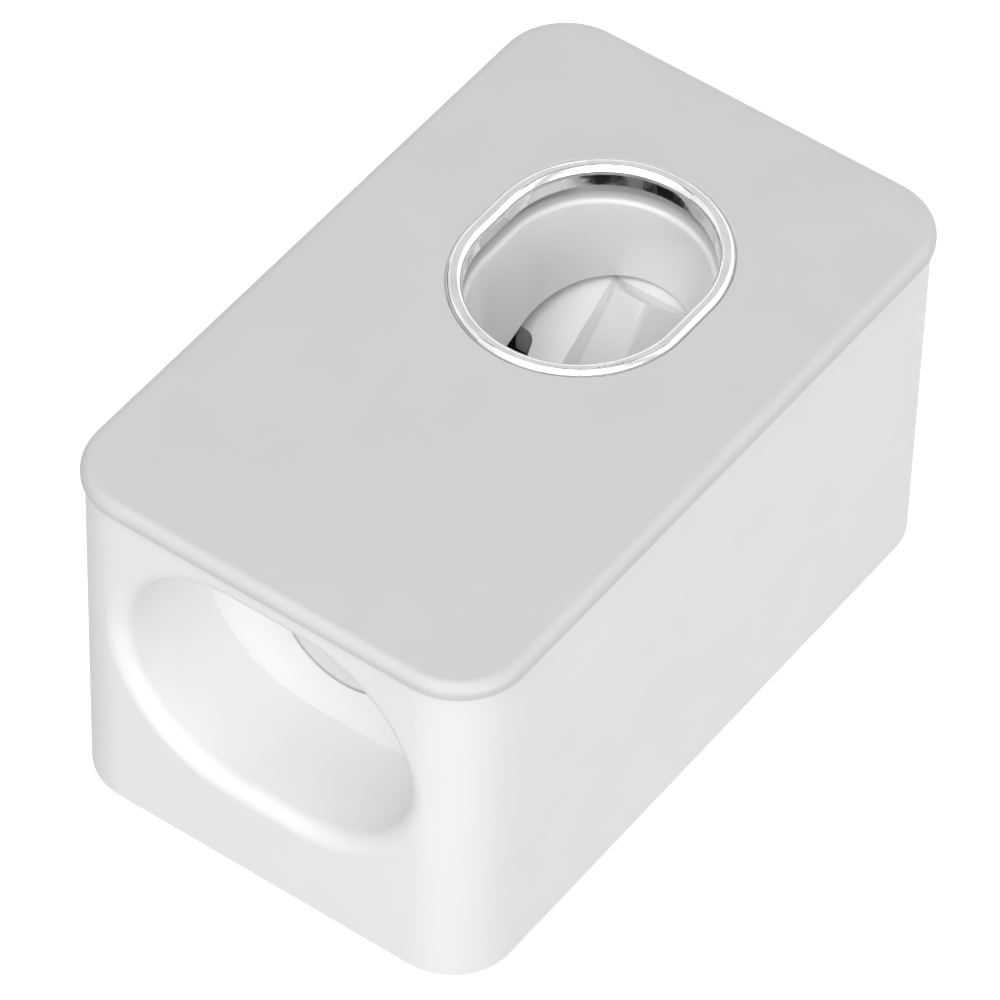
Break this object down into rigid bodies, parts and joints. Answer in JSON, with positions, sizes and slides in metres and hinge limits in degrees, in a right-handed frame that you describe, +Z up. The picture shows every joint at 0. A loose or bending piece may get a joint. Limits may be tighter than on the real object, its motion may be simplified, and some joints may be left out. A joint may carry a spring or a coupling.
{
  "type": "toothpaste dispenser",
  "caption": "White wall-hung toothpaste dispenser with a grey front panel, a chrome-ringed oval brush opening, a sprung push lever and a tube recess in the top end.",
  "frame": {"origin": "centre of the adhesive pad's wall face, at half the housing's height", "axes": "+Z up along the wall, +Y into the wall, so the front panel faces -Y"},
  "size_m": [0.0676, 0.0588, 0.1092],
  "materials": {
    "housing_white": "semi-gloss white ABS",
    "panel_grey": "fine satin light grey ABS",
    "ring_chrome": "bright plated",
    "cup_white": "gloss white ABS",
    "pin_steel": "ground stainless",
    "screw_steel": "zinc plated",
    "frame_plastic": "moulded ABS",
    "silicone": "translucent milky silicone",
    "seal_white": "white silicone",
    "foam": "closed-cell adhesive foam"
  },
  "bodies": {
    "wall_mount": {"wall_plate": "frame_plastic", "adhesive_pad": "foam"},
    "dispenser": {"housing": "housing_white", "front_panel": "panel_grey", "chrome_ring": "ring_chrome", "brush_cup": "cup_white", "lever_pin": "pin_steel", "pin_clips": "pin_steel", "return_spring": "pin_steel", "pump_frame": "frame_plastic", "pump_tube": "silicone", "tube_clamps": "frame_plastic", "inlet_spigot": "frame_plastic", "inlet_valve": "silicone", "socket_seal": "seal_white", "outlet_elbow": "frame_plastic", "outlet_nozzle": "silicone", "case_screws": "screw_steel", "cup_screws": "screw_steel", "frame_screws": "screw_steel"},
    "lever": {"push_lever": "cup_white"}
  },
  "joints": [
    {"name": "lift_off", "type": "slide", "parent": "wall_mount", "child": "dispenser", "axis": [0, 0, 1], "range_m": [0, 0.08]},
    {"name": "lever_push", "type": "hinge", "parent": "dispenser", "child": "lever", "pos_m": [0, -0.01783, 0.004], "axis": [1, 0, 0], "range_deg": [0, 15], "stiffness_Nm_per_rad": 0.27, "springref_deg": -6.3, "deforming": ["return_spring", "pump_tube"]}
  ]
}
